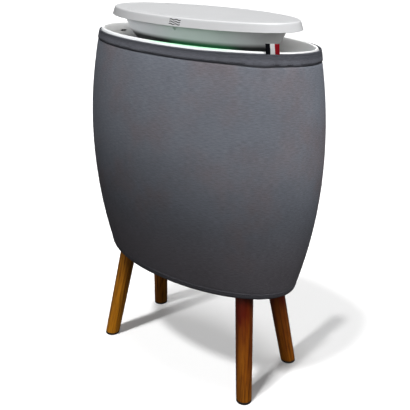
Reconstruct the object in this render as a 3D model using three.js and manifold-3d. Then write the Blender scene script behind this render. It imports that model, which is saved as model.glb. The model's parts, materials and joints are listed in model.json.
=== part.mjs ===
// Free-standing air purifier on four splayed wooden legs. Room air enters through a stretch fabric
// sleeve and the slotted front and rear grilles, passes two filter cartridges into a central
// chamber, and is lifted by a ducted fan. It leaves through the oval gap between the white outlet
// funnel and the bowl that carries the floating lid.
// Units are millimetres. +Z is up, -Y is the front, and the origin is on the floor under the centre.
import * as THREE from "three";
import { mergeVertices } from "three/addons/utils/BufferGeometryUtils.js";
import Module from "manifold-3d";

const wasm = await Module();
wasm.setup();

// ---- Driving dimensions ----
const GAP = 0.4; // between pieces that rest on each other
const AROUND = 44; // facets round the body
const TURN = 2 * Math.PI;

// Oval outline of the sleeve's outside: half width and half depth at three heights.
const BODY_BOTTOM = { z: 195, a: 195, b: 99 };
const BODY_MIDDLE = { z: 414, a: 226, b: 125 };
const BODY_TOP = { z: 590, a: 207.5, b: 97 };

const FOOT = { x: 161.3, y: 73.4 }; // centre of each leg on the floor
const LEG_HEAD = { x: 132.6, y: 43.7 }; // centre of each leg where it meets the body
const LEG_RADIUS = { top: 15.2, bottom: 13.5 };
const PAD_HEIGHT = 3.2;

const SLEEVE_THICK = 1.5;
const TOP_SEAM_Z = 575;
const BOTTOM_SEAM_Z = 207;
const WALL = 2.6; // moulded shells
const SHELL_INSET = SLEEVE_THICK + 0.8; // outline to the outside of the shells

const TRAY = { floorZ: 196.6, floor: 3.4, rimZ: 230 };
const SHELL = { lowZ: TRAY.rimZ + GAP, highZ: 559.6, splitX: 168 };
const SLOT = { width: 9, pitch: 20, count: 13, rows: [[248, 346], [354, 452]] };

const FILTER = { width: 278, height: 236, lowZ: 228, frontY: 65, depth: 27, wall: 4 };
const SEAT = { y: 31.4, thick: 2.4, lowZ: 200.5, highZ: 475.4 };

const DECK = { z: 476, thick: 3.6, holeR: 74 };
const DUCT = { innerR: 77, outerR: 79.6, highZ: 529 };
const FAN = {
  hubR: 31, tipR: 74, blades: 7, chord: 44, lowZ: 485, highZ: 522,
  pitchRoot: 0.62, pitchTip: 1.02, // radians from upright
};
const MOTOR = { shaftR: 3, bearingR: 8, canR: 27, canZ: 488, canWall: 2.6 };

const LIP_Z = 594; // top of the funnel's rolled lip
const CARRIER_Z = 547.4; // underside of the cross that carries the bowl
const RING_Z = 556.4; // underside of the light ring
const BOWL = { topZ: 616, lowZ: 565.4, a: 151.5, b: 71.5, wall: 2.4, steep: 0.3, curl: 0.0075 };
const LID = { lowZ: 616.8, highZ: 630, a: 177, b: 84.7, draft: 5, wall: 2.4, floorZ: 617.2 };

// ---- Shape helpers ----

// Half width and half depth of the body's outline at height z: two half parabolas.
function outline(z) {
  const end = z < BODY_MIDDLE.z ? BODY_BOTTOM : BODY_TOP;
  const u = (z - BODY_MIDDLE.z) / (end.z - BODY_MIDDLE.z);
  return {
    a: BODY_MIDDLE.a + (end.a - BODY_MIDDLE.a) * u * u,
    b: BODY_MIDDLE.b + (end.b - BODY_MIDDLE.b) * u * u,
  };
}

// One ring of an oval solid, set in from the body's outline.
function inside(inset, z, at = z) {
  const { a, b } = outline(at);
  return [a - inset, b - inset, z];
}

// One ring of the bowl, whose sides run in faster as they go down.
function bowlRing(inset, z) {
  const down = BOWL.topZ - z;
  const run = BOWL.steep * down + BOWL.curl * down * down + inset;
  return [BOWL.a - run, BOWL.b - run, z];
}

// A solid of revolution squeezed to an oval. Each ring is [half width, half depth, z]; the rings run
// up the outside, and either start and end on the axis or go round a closed wall.
function oval(rings, around = AROUND) {
  const closed = rings[0][0] > 0;
  const loop = closed ? [...rings, rings[0]] : rings;
  const g = new THREE.LatheGeometry(loop.map(([a, , z]) => new THREE.Vector2(a, z)), around);
  const p = g.getAttribute("position");
  for (let i = 0; i < p.count; i++) {
    const [a, b] = loop[i % loop.length];
    if (a > 0) p.setZ(i, (p.getZ(i) * b) / a);
  }
  return g.rotateX(Math.PI / 2);
}

// A round solid about the Z axis from [radius, z] points.
function round(points, around = 32) {
  return oval(points.map(([r, z]) => [r, r, z]), around);
}

function disc(radius, z0, z1, around = 32) {
  return round([[0, z0], [radius, z0], [radius, z1], [0, z1]], around);
}

function ringOf(innerR, outerR, z0, z1, around = 32) {
  return round([[outerR, z0], [outerR, z1], [innerR, z1], [innerR, z0]], around);
}

function box(x0, x1, y0, y1, z0, z1) {
  const g = new THREE.BoxGeometry(x1 - x0, y1 - y0, z1 - z0);
  return g.translate((x0 + x1) / 2, (y0 + y1) / 2, (z0 + z1) / 2);
}

// A flat outline in X and Y, raised from z0 to z1.
function raised(points, z0, z1) {
  const shape = new THREE.Shape(points.map(([x, y]) => new THREE.Vector2(x, y)));
  const g = new THREE.ExtrudeGeometry(shape, { depth: z1 - z0, bevelEnabled: false });
  return g.translate(0, 0, z0);
}

function solid(geometry) {
  const bare = geometry.index ? geometry.toNonIndexed() : geometry.clone();
  bare.deleteAttribute("normal");
  bare.deleteAttribute("uv");
  const g = mergeVertices(bare, 1e-4);
  const mesh = new wasm.Mesh({
    numProp: 3,
    vertProperties: g.getAttribute("position").array,
    triVerts: new Uint32Array(g.index.array),
  });
  return new wasm.Manifold(mesh);
}

function geometryOf(manifold) {
  const { vertProperties, triVerts } = manifold.getMesh();
  const g = new THREE.BufferGeometry();
  g.setAttribute("position", new THREE.BufferAttribute(new Float32Array(vertProperties), 3));
  return g.setIndex(new THREE.BufferAttribute(new Uint32Array(triVerts), 1));
}

function cut(body, ...tools) {
  return geometryOf(tools.reduce((m, t) => m.subtract(solid(t)), solid(body)));
}

function join(...bodies) {
  return geometryOf(bodies.slice(1).reduce((m, t) => m.add(solid(t)), solid(bodies[0])));
}

function common(body, tool) {
  return geometryOf(solid(body).intersect(solid(tool)));
}

// ---- Materials ----
function paint(color, roughness = 0.6, metalness = 0) {
  return new THREE.MeshStandardMaterial({ color, roughness, metalness });
}
const FABRIC = paint(0x65666c, 0.95);
const LABEL = paint(0xf2f2f2, 0.9);
const WHITE = paint(0xe4e4e4, 0.35);
const SHELL_GREY = paint(0x8f9194, 0.55);
const INNER_BLACK = paint(0x26272a, 0.6);
const WOOD = paint(0x7a3f12, 0.5);
const RUBBER = paint(0x17130f, 0.9);
const STEEL = paint(0xb4b6b8, 0.35, 1);
const MEDIA = paint(0xf0efe9, 0.95);
const CARBON = paint(0x202020, 1);
const BOARD = paint(0x1d5c34, 0.5);
const GLOW = paint(0x39ff7d, 0.3);

const group = new THREE.Group();
function add(name, geometry, material) {
  const mesh = new THREE.Mesh(geometry, material);
  mesh.name = name;
  group.add(mesh);
  return mesh;
}

// ---- Legs: turned, tapered and splayed, with level ends ----
const CORNERS = [
  ["front_left", -1, -1],
  ["front_right", 1, -1],
  ["rear_left", -1, 1],
  ["rear_right", 1, 1],
];

// Centre of a leg at height z, for the corner whose signs are sx and sy.
function legCentre(sx, sy, z) {
  const t = z / BODY_BOTTOM.z;
  return [
    sx * (FOOT.x + (LEG_HEAD.x - FOOT.x) * t),
    sy * (FOOT.y + (LEG_HEAD.y - FOOT.y) * t),
  ];
}

// A round bar that leans with a leg: its ends stay level, and its radius runs from r0 to r1.
function leaning(sx, sy, r0, r1, z0, z1, around = 24) {
  const g = round([[0, z0], [r0, z0], [r1, z1], [0, z1]], around);
  const p = g.getAttribute("position");
  for (let i = 0; i < p.count; i++) {
    const [x, y] = legCentre(sx, sy, p.getZ(i));
    p.setX(i, p.getX(i) + x);
    p.setY(i, p.getY(i) + y);
  }
  return g;
}

const LEG_TOP_Z = TRAY.floorZ - GAP;
const STUD = { radius: 4, lowZ: 166 };
const PLATE = { halfX: 16, halfY: 11, inX: 6, inY: 4, lowZ: 200.4, highZ: 204.4 };
// A leg's plate, grown by the amount given. It sits a little inwards of the leg.
function plateBox(sx, sy, grow) {
  const [x, y] = legCentre(sx, sy, PLATE.lowZ);
  const [cx, cy] = [x - sx * PLATE.inX, y - sy * PLATE.inY];
  const [dx, dy] = [PLATE.halfX + grow, PLATE.halfY + grow];
  return box(cx - dx, cx + dx, cy - dy, cy + dy, PLATE.lowZ - grow, PLATE.highZ + grow);
}
for (const [corner, sx, sy] of CORNERS) {
  const { top, bottom } = LEG_RADIUS;
  const bar = leaning(sx, sy, bottom, top, PAD_HEIGHT + GAP, LEG_TOP_Z);
  const bore = leaning(sx, sy, STUD.radius + GAP, STUD.radius + GAP, STUD.lowZ - GAP, 200, 12);
  add(`leg_${corner}`, cut(bar, bore), WOOD);
  add(`foot_pad_${corner}`, leaning(sx, sy, bottom, bottom, 0, PAD_HEIGHT), RUBBER);
  const stud = leaning(sx, sy, STUD.radius, STUD.radius, STUD.lowZ, PLATE.highZ - 1, 12);
  add(`leg_plate_${corner}`, join(plateBox(sx, sy, 0), stud), STEEL);
}

// ---- Base tray: the oval pan that the legs bolt to ----
const INLET = { x: 0, y: 62, halfX: 13, halfY: 9 };
const studHoles = CORNERS.map(([, sx, sy]) =>
  leaning(sx, sy, STUD.radius + GAP, STUD.radius + GAP, 180, 225, 12),
);
const trayOutside = [
  [0, 0, TRAY.floorZ],
  inside(12, TRAY.floorZ),
  inside(5, TRAY.floorZ + 1.4),
  inside(SHELL_INSET, TRAY.floorZ + 6),
  inside(SHELL_INSET, TRAY.rimZ),
];
const trayInside = [
  inside(SHELL_INSET + WALL, TRAY.rimZ),
  inside(SHELL_INSET + WALL + 1, TRAY.floorZ + 8),
  inside(15, TRAY.floorZ + TRAY.floor),
  [0, 0, TRAY.floorZ + TRAY.floor],
];
const inletHole = box(
  INLET.x - INLET.halfX - GAP,
  INLET.x + INLET.halfX + GAP,
  INLET.y - INLET.halfY - GAP,
  INLET.y + INLET.halfY + GAP,
  190,
  210,
);
add("base_tray", cut(oval([...trayOutside, ...trayInside]), inletHole, ...studHoles), INNER_BLACK);

// The mains inlet faces down, with two pins in its well.
const inletCase = box(
  INLET.x - INLET.halfX,
  INLET.x + INLET.halfX,
  INLET.y - INLET.halfY,
  INLET.y + INLET.halfY,
  197.2,
  222,
);
const inletWell = box(INLET.x - 9, INLET.x + 9, INLET.y - 5, INLET.y + 5, 190, 216);
const inletPins = [-4.4, 4.4].map((dx) =>
  disc(1.2, 203, 217, 10).translate(INLET.x + dx, INLET.y, 0),
);
add("power_inlet", join(cut(inletCase, inletWell), ...inletPins), INNER_BLACK);

// ---- Shells: two end pillars and two slotted grilles between tray and funnel ----
const SHELL_LEVELS = [
  SHELL.lowZ,
  290,
  350,
  BODY_MIDDLE.z,
  470,
  520,
  SHELL.highZ,
];
const shellWall = oval([
  ...SHELL_LEVELS.map((z) => inside(SHELL_INSET, z)),
  ...[...SHELL_LEVELS].reverse().map((z) => inside(SHELL_INSET + WALL, z)),
]);
const FAR = 400;
add("left_pillar", common(shellWall, box(-FAR, -SHELL.splitX, -FAR, FAR, 0, FAR * 2)), SHELL_GREY);
add("right_pillar", common(shellWall, box(SHELL.splitX, FAR, -FAR, FAR, 0, FAR * 2)), SHELL_GREY);
for (const [side, sy] of [["front", -1], ["rear", 1]]) {
  const edge = SHELL.splitX - GAP;
  const half = sy > 0 ? box(-edge, edge, 0, FAR, 0, FAR * 2) : box(-edge, edge, -FAR, 0, 0, FAR * 2);
  const slots = [];
  for (let i = 0; i < SLOT.count; i++) {
    const x = (i - (SLOT.count - 1) / 2) * SLOT.pitch;
    for (const [z0, z1] of SLOT.rows) {
      slots.push(box(x - SLOT.width / 2, x + SLOT.width / 2, -FAR, FAR, z0, z1));
    }
  }
  add(`${side}_grille`, cut(common(shellWall, half), ...slots), SHELL_GREY);
}

// ---- Filters: pleated media and a carbon sheet in a frame, sealed against an inner seat ----
const seatRoom = oval([
  [0, 0, SEAT.lowZ],
  inside(16.5, SEAT.lowZ),
  inside(SHELL_INSET + WALL + 3, TRAY.floorZ + 9),
  inside(SHELL_INSET + WALL + 2, 300),
  inside(SHELL_INSET + WALL + 2, BODY_MIDDLE.z),
  inside(SHELL_INSET + WALL + 2, SEAT.highZ),
  [0, 0, SEAT.highZ],
]);
const plateRoom = CORNERS.map(([, sx, sy]) => plateBox(sx, sy, 1.2));
const LEAD = { z: 214, radius: 2.4 };
const leadHole = disc(LEAD.radius + 0.8, -50, 50, 12).rotateX(Math.PI / 2).translate(0, 0, LEAD.z);
for (const [side, sy] of [["front", -1], ["rear", 1]]) {
  const { width, height, lowZ, frontY, depth, wall } = FILTER;
  const highZ = lowZ + height;
  const half = width / 2;
  const backY = frontY - depth; // the face nearest the middle of the body
  const slab = (halfX, y0, y1, z0, z1) =>
    sy > 0 ? box(-halfX, halfX, y0, y1, z0, z1) : box(-halfX, halfX, -y1, -y0, z0, z1);
  const well = slab(half - wall, backY - 1, frontY + 1, lowZ + wall, highZ - wall);
  add(`filter_frame_${side}`, cut(slab(half, backY, frontY, lowZ, highZ), well), WHITE);
  const reach = half - wall - GAP;
  const z0 = lowZ + wall + GAP;
  const z1 = highZ - wall - GAP;
  add(`carbon_sheet_${side}`, slab(reach, frontY - 4, frontY - 1, z0, z1), CARBON);
  // The pleats zigzag between an outer and an inner face.
  const pleats = 24;
  const sheet = 1.8;
  const zigzag = (shift) =>
    Array.from({ length: 2 * pleats + 1 }, (_, i) => [
      -reach + (i * reach) / pleats,
      sy * ((i % 2 ? frontY - 4 - GAP : backY + 2 * sheet) - shift),
    ]);
  const fold = [...zigzag(0), ...zigzag(sheet).reverse()];
  add(`filter_media_${side}`, raised(sy > 0 ? fold.reverse() : fold, z0, z1), MEDIA);
  const gasket = slab(half - 1, SEAT.y + SEAT.thick + GAP, backY - GAP, lowZ + 1, highZ - 1);
  const gasketHole = slab(half - 11, 0, FAR, lowZ + 11, highZ - 11);
  add(`filter_gasket_${side}`, cut(gasket, gasketHole), RUBBER);
  const seat = common(slab(FAR, SEAT.y, SEAT.y + SEAT.thick, SEAT.lowZ, SEAT.highZ), seatRoom);
  const seatWindow = slab(half - 12, 0, FAR, lowZ + 12, highZ - 12);
  const holes = sy > 0 ? [...plateRoom, leadHole] : plateRoom;
  add(`filter_seat_${side}`, cut(seat, seatWindow, ...holes), INNER_BLACK);
}

// ---- Fan: deck, duct, motor and impeller ----
const LOOM = { x: -182, radius: 2.6, runZ: 538.5 };
const loomHole = (x) => disc(LOOM.radius + 1.6, 0, 700, 12).translate(x, 0, 0);
const deckPlate = oval([
  [0, 0, DECK.z],
  inside(SHELL_INSET + WALL + GAP, DECK.z),
  inside(SHELL_INSET + WALL + GAP, DECK.z + DECK.thick),
  [0, 0, DECK.z + DECK.thick],
]);
add("fan_deck", cut(deckPlate, disc(DECK.holeR, 460, 490, 48), loomHole(LOOM.x)), INNER_BLACK);
const DUCT_LOW_Z = DECK.z + DECK.thick + GAP;
const duct = round([
  [DUCT.outerR + 10, DUCT_LOW_Z],
  [DUCT.outerR + 10, DUCT_LOW_Z + 3],
  [DUCT.outerR, DUCT_LOW_Z + 3],
  [DUCT.outerR, DUCT.highZ],
  [DUCT.innerR, DUCT.highZ],
  [DUCT.innerR, DUCT_LOW_Z + 8],
  [DUCT.innerR - 1.2, DUCT_LOW_Z + 3],
  [DECK.holeR, DUCT_LOW_Z],
], 48);
add("fan_duct", duct, INNER_BLACK);

// The spider's ring sits on the duct, and its centre plate holds the motor.
const SPIDER = { lowZ: DUCT.highZ + GAP, thick: 4, plateR: 25 };
const spiderTop = SPIDER.lowZ + SPIDER.thick;
const spiderArms = Array.from({ length: 4 }, (_, i) =>
  box(14, DUCT.innerR + 1, -4, 4, SPIDER.lowZ, spiderTop).rotateZ(((i + 0.5) * TURN) / 4),
);
const MOTOR_LEAD_X = -16;
const spiderHole = disc(MOTOR.shaftR + 1, 520, 540, 16);
const spider = join(
  ringOf(DUCT.innerR, DUCT.outerR, SPIDER.lowZ, spiderTop, 48),
  disc(SPIDER.plateR, SPIDER.lowZ, spiderTop),
  ...spiderArms,
);
add("motor_spider", cut(spider, spiderHole, loomHole(MOTOR_LEAD_X)), STEEL);
add("motor_stator", ringOf(MOTOR.bearingR + GAP, 23, 494, SPIDER.lowZ - GAP), STEEL);
add("lower_bearing", ringOf(MOTOR.shaftR + GAP, MOTOR.bearingR, 497, 503, 24), STEEL);
add("upper_bearing", ringOf(MOTOR.shaftR + GAP, MOTOR.bearingR, 519, 525, 24), STEEL);
add("motor_shaft", disc(MOTOR.shaftR, MOTOR.canZ + MOTOR.canWall + GAP, 531, 16), STEEL);
const canTop = MOTOR.canZ + MOTOR.canWall;
const can = round([
  [0, MOTOR.canZ],
  [MOTOR.canR, MOTOR.canZ],
  [MOTOR.canR, FAN.highZ],
  [MOTOR.canR - 2, FAN.highZ],
  [MOTOR.canR - 2, canTop],
  [0, canTop],
]);
add("motor_rotor", can, STEEL);

// A blade is a plate from hub to tip that lies flatter towards the tip, as a screw's does.
function blade(turn) {
  const root = FAN.hubR - 2;
  const span = FAN.tipR - root;
  const g = new THREE.BoxGeometry(span, 2, FAN.chord, 5, 1, 1).translate(root + span / 2, 0, 0);
  const p = g.getAttribute("position");
  const v = new THREE.Vector3();
  const radial = new THREE.Vector3(1, 0, 0);
  for (let i = 0; i < p.count; i++) {
    v.fromBufferAttribute(p, i);
    v.applyAxisAngle(radial, THREE.MathUtils.lerp(FAN.pitchRoot, FAN.pitchTip, (v.x - root) / span));
    p.setXYZ(i, v.x, v.y, v.z);
  }
  return g.rotateZ(turn).translate(0, 0, (FAN.lowZ + FAN.highZ) / 2);
}
const hubCoreR = MOTOR.canR + GAP;
const hubFloorZ = MOTOR.canZ - GAP;
const hub = round([
  [0, FAN.lowZ],
  [FAN.hubR - 4, FAN.lowZ],
  [FAN.hubR, FAN.lowZ + 4],
  [FAN.hubR, FAN.highZ],
  [hubCoreR, FAN.highZ],
  [hubCoreR, hubFloorZ],
  [0, hubFloorZ],
]);
const blades = Array.from({ length: FAN.blades }, (_, i) => blade((i * TURN) / FAN.blades));
add("impeller", cut(join(hub, ...blades), disc(hubCoreR, hubFloorZ, FAN.highZ + 10)), INNER_BLACK);
const capTop = FAN.lowZ - GAP;
add(
  "impeller_cap",
  round([[0, 473], [9, 474.4], [17, 477.6], [23, capTop], [0, capTop]]),
  INNER_BLACK,
);

// ---- Outlet funnel: rolled lip, curved inner wall, and the skirt that closes the body ----
const funnel = oval([
  inside(SHELL_INSET, SHELL.highZ + GAP),
  inside(SHELL_INSET, LIP_Z - 5.6, BODY_TOP.z),
  inside(3.6, LIP_Z - 1.6, BODY_TOP.z),
  inside(6, LIP_Z, BODY_TOP.z),
  inside(8.4, LIP_Z - 1.2, BODY_TOP.z),
  inside(10, LIP_Z - 5, BODY_TOP.z),
  inside(15, LIP_Z - 17, BODY_TOP.z),
  inside(23, LIP_Z - 29, BODY_TOP.z),
  inside(31, LIP_Z - 38, BODY_TOP.z),
  inside(39, CARRIER_Z - GAP, BODY_TOP.z),
  inside(50, CARRIER_Z - GAP, BODY_TOP.z),
  inside(50, CARRIER_Z - 3, BODY_TOP.z),
  inside(37.6, CARRIER_Z - 3, BODY_TOP.z),
  inside(28.8, LIP_Z - 40.4, BODY_TOP.z),
  inside(20.6, LIP_Z - 31, BODY_TOP.z),
  inside(12.6, LIP_Z - 18.4, BODY_TOP.z),
  inside(7.6, LIP_Z - 6.4, BODY_TOP.z),
  inside(SHELL_INSET + WALL, LIP_Z - 7, BODY_TOP.z),
  inside(SHELL_INSET + WALL, SHELL.highZ + GAP),
]);
// The particle sensor breathes through a slot in the funnel's left end.
const SENSOR = { x: -189, y: 18, z: 580.5, halfY: 4.6, halfZ: 1.1 };
const slotBox = (grow, x0, x1) =>
  box(
    x0,
    x1,
    SENSOR.y - SENSOR.halfY - grow,
    SENSOR.y + SENSOR.halfY + grow,
    SENSOR.z - SENSOR.halfZ - grow,
    SENSOR.z + SENSOR.halfZ + grow,
  );
add("outlet_funnel", cut(funnel, slotBox(0, -198, -180)), WHITE);
add(
  "air_sensor",
  box(SENSOR.x - 4.2, SENSOR.x + 0.2, SENSOR.y - 8, SENSOR.y + 8, SENSOR.z - 34, SENSOR.z - 15),
  INNER_BLACK,
);

// ---- Bowl and what carries it ----
const carrierArms = [
  box(-164, 164, -5, 5, CARRIER_Z, RING_Z - GAP),
  box(-5, 5, -52, 52, CARRIER_Z, RING_Z - GAP),
];
const RISER_X = -62; // where the loom climbs into the bowl
const carrierPlate = oval([
  [0, 0, CARRIER_Z],
  bowlRing(6, RING_Z).with(2, CARRIER_Z),
  bowlRing(0, RING_Z).with(2, RING_Z - GAP),
  [0, 0, RING_Z - GAP],
]);
add("bowl_carrier", cut(join(carrierPlate, ...carrierArms), loomHole(RISER_X)), INNER_BLACK);
const RING_TOP_Z = BOWL.lowZ - GAP;
const lightRing = oval([
  bowlRing(0.5, RING_Z),
  bowlRing(0.5, RING_TOP_Z),
  bowlRing(5, RING_TOP_Z),
  bowlRing(5, RING_Z),
]);
add("light_ring", lightRing, GLOW);
const ledBoard = oval([
  [0, 0, RING_Z],
  bowlRing(5 + GAP, RING_Z),
  bowlRing(5 + GAP, RING_Z).with(2, RING_Z + 1.6),
  [0, 0, RING_Z + 1.6],
]);
add("led_board", cut(ledBoard, loomHole(RISER_X)), BOARD);
const BOWL_LEVELS = [BOWL.lowZ, 580, 592, 604, BOWL.topZ];
const bowlFloor = BOWL.lowZ + BOWL.wall;
const bowlBody = oval([
  [0, 0, BOWL.lowZ],
  ...BOWL_LEVELS.map((z) => bowlRing(0, z)),
  ...[...BOWL_LEVELS.slice(1)].reverse().map((z) => bowlRing(BOWL.wall, z)),
  bowlRing(BOWL.wall, bowlFloor),
  [0, 0, bowlFloor],
]);
const LENS = { x: 4, z: 611.4, radius: 2.3, frontY: 0.9 - BOWL.b, length: 5.4 };
const lensBar = (r, y0, y1) => disc(r, -y1, -y0, 16).rotateX(Math.PI / 2).translate(LENS.x, 0, LENS.z);
add(
  "deflector_bowl",
  cut(bowlBody, loomHole(RISER_X), lensBar(LENS.radius + GAP, -90, -50)),
  WHITE,
);
add("status_lens", lensBar(LENS.radius, LENS.frontY, LENS.frontY + LENS.length), WHITE);

// ---- Lid: a drafted cover over a floor plate that carries the control board ----
const lidRing = (inset, z) => {
  const run = (LID.draft * (z - LID.lowZ)) / (LID.highZ - LID.lowZ) + inset;
  return [LID.a - run, LID.b - run, z];
};
const lidCover = oval([
  lidRing(0, LID.lowZ),
  lidRing(0, LID.highZ - 2),
  lidRing(0.6, LID.highZ - 0.6),
  lidRing(2, LID.highZ),
  [0, 0, LID.highZ],
  [0, 0, LID.highZ - LID.wall],
  lidRing(LID.wall, LID.highZ - LID.wall),
  lidRing(LID.wall, LID.lowZ),
], 64);
const lidFloor = oval([
  [0, 0, LID.floorZ],
  lidRing(LID.wall + GAP, LID.floorZ),
  lidRing(LID.wall + GAP, LID.floorZ + 2.2),
  [0, 0, LID.floorZ + 2.2],
], 64);
add("lid_cover", lidCover, WHITE);
add("lid_floor", cut(lidFloor, loomHole(RISER_X)), WHITE);
const BOARD_Z = LID.floorZ + 2.2 + GAP;
const controlBoard = join(
  box(-60, 60, -56, -20, BOARD_Z, BOARD_Z + 1.6),
  box(-44, -20, -50, -34, BOARD_Z + 1, BOARD_Z + 4.6),
  box(12, 30, -44, -30, BOARD_Z + 1, BOARD_Z + 3.6),
);
add("control_board", controlBoard, BOARD);

// ---- Mains supply and wiring ----
const SUPPLY = { halfX: 62, halfY: 24, z: 206 };
const supply = join(
  box(-SUPPLY.halfX, SUPPLY.halfX, -SUPPLY.halfY, SUPPLY.halfY, SUPPLY.z, SUPPLY.z + 1.6),
  ...[-54, 54].flatMap((x) => [-18, 18].map((y) => disc(3, 200.4, 207, 12).translate(x, y, 0))),
  box(-22, 12, -16, 12, SUPPLY.z + 1, 234),
  disc(10, SUPPLY.z + 1, 236, 20).translate(34, -8, 0),
  box(-50, -34, -18, 4, SUPPLY.z + 1, 226),
);
add("power_supply", supply, BOARD);

// A cable of one radius along straight runs, with each corner eased over the bend length.
function cable(points, radius, bend, steps, sides = 8) {
  const at = points.map((p) => new THREE.Vector3(...p));
  const path = new THREE.CurvePath();
  let from = at[0];
  for (let i = 1; i < at.length - 1; i++) {
    const before = at[i].clone().add(at[i - 1].clone().sub(at[i]).setLength(bend));
    const after = at[i].clone().add(at[i + 1].clone().sub(at[i]).setLength(bend));
    path.add(new THREE.LineCurve3(from, before));
    path.add(new THREE.QuadraticBezierCurve3(before, at[i], after));
    from = after;
  }
  path.add(new THREE.LineCurve3(from, at[at.length - 1]));
  const section = Array.from({ length: sides }, (_, i) => {
    const turn = (i * TURN) / sides;
    return new THREE.Vector2(radius * Math.cos(turn), radius * Math.sin(turn));
  });
  return new THREE.ExtrudeGeometry(new THREE.Shape(section), { steps, extrudePath: path });
}
const powerLead = cable(
  [[0, INLET.y - INLET.halfY - GAP, LEAD.z], [0, SUPPLY.halfY + 6, LEAD.z], [0, 20, LEAD.z]],
  LEAD.radius,
  2,
  4,
);
add("power_lead", powerLead, RUBBER);
const trunk = cable(
  [
    [-54, 12, 212],
    [-100, 0, 212],
    [LOOM.x + 10, 0, 214],
    [LOOM.x, 0, 260],
    [LOOM.x, 0, LOOM.runZ],
    [RISER_X, 0, LOOM.runZ],
    [RISER_X, 0, 624.4],
    [RISER_X + 6, -30, 624.4],
  ],
  LOOM.radius,
  6,
  72,
);
const motorBranch = cable(
  [[RISER_X - 10, 0, LOOM.runZ], [MOTOR_LEAD_X, 0, LOOM.runZ], [MOTOR_LEAD_X, 0, SPIDER.lowZ + 1]],
  LOOM.radius - 0.4,
  3,
  12,
);
add("main_loom", join(trunk, motorBranch), RUBBER);

// ---- Fabric sleeve: one knitted tube with a doubled hem at each end, and its woven label ----
const STITCH = 0.7; // how far a seam dips into the knit
const sleeve = oval([
  inside(0, BODY_BOTTOM.z),
  inside(0, BOTTOM_SEAM_Z),
  inside(STITCH, BOTTOM_SEAM_Z + 1.2),
  ...[240, 300, 356, BODY_MIDDLE.z, 480, 540].map((z) => inside(0, z)),
  inside(STITCH, TOP_SEAM_Z - 1.2),
  inside(0, TOP_SEAM_Z),
  inside(0, BODY_TOP.z),
  ...[BODY_TOP.z, 540, 480, BODY_MIDDLE.z, 356, 300, 240, BODY_BOTTOM.z].map((z) =>
    inside(SLEEVE_THICK, z),
  ),
]);
add("fabric_sleeve", sleeve, FABRIC);
const LABEL_AT = { x: 169.7, y: -55.6, lowZ: BODY_TOP.z + GAP, highZ: 605.6, width: 19, thick: 1 };
const normal = new THREE.Vector2(LABEL_AT.x / BODY_TOP.a ** 2, LABEL_AT.y / BODY_TOP.b ** 2);
const label = box(
  -LABEL_AT.width / 2,
  LABEL_AT.width / 2,
  -LABEL_AT.thick / 2,
  LABEL_AT.thick / 2,
  LABEL_AT.lowZ,
  LABEL_AT.highZ,
);
label.rotateZ(normal.angle() + Math.PI / 2).translate(LABEL_AT.x, LABEL_AT.y, 0);
add("woven_label", label, LABEL);

export default group;
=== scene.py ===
"""Air purifier with a knitted sleeve, a floating lid and four wooden legs.

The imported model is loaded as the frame. Each operator makes one piece, or one group of like pieces,
in the frame's own metres, and main() calls them in order.
"""

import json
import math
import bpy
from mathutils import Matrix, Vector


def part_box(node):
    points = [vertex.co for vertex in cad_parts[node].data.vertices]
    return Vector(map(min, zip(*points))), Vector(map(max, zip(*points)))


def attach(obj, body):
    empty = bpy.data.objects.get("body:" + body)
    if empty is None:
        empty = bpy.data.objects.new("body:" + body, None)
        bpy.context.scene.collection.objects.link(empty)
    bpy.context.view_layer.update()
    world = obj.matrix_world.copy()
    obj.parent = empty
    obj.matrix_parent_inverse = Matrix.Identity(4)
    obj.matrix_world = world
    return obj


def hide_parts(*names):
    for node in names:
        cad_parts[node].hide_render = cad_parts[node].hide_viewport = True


bl_info = {
    "name": "Air Purifier Builder",
    "version": (1, 0, 0),
    "blender": (4, 5, 0),
    "location": "3D View > Sidebar > Purifier",
    "description": "Builds the visible pieces and finishes of an air purifier on wooden legs",
    "category": "Object",
}

from functools import cache

import bpy
from bpy.props import FloatProperty, FloatVectorProperty, IntProperty, PointerProperty
from mathutils import Matrix, Vector, noise

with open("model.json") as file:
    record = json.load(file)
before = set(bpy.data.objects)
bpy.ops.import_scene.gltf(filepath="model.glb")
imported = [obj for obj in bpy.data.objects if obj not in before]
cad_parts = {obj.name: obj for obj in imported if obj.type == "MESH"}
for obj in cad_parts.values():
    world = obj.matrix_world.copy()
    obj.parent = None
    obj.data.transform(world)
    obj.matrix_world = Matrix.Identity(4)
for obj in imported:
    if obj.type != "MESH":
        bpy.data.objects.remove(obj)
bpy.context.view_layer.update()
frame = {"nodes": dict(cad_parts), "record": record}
MM = 0.001
TURN = 2 * math.pi
HOUSING = "housing"

SLEEVE_LOW, SLEEVE_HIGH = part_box("fabric_sleeve")
LID_LOW, LID_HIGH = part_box("lid_cover")
BOWL_LOW, BOWL_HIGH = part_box("deflector_bowl")
FUNNEL_LOW, FUNNEL_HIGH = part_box("outlet_funnel")
TRAY_LOW, TRAY_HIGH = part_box("base_tray")
LENS_LOW, LENS_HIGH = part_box("status_lens")
LABEL_LOW, LABEL_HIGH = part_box("woven_label")
RING_LOW, RING_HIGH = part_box("light_ring")
MOULDED_GLOSS = 0.34
BOWL_LEAN = 0.3
BOWL_CURVE = 7.5  # per metre of height
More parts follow.
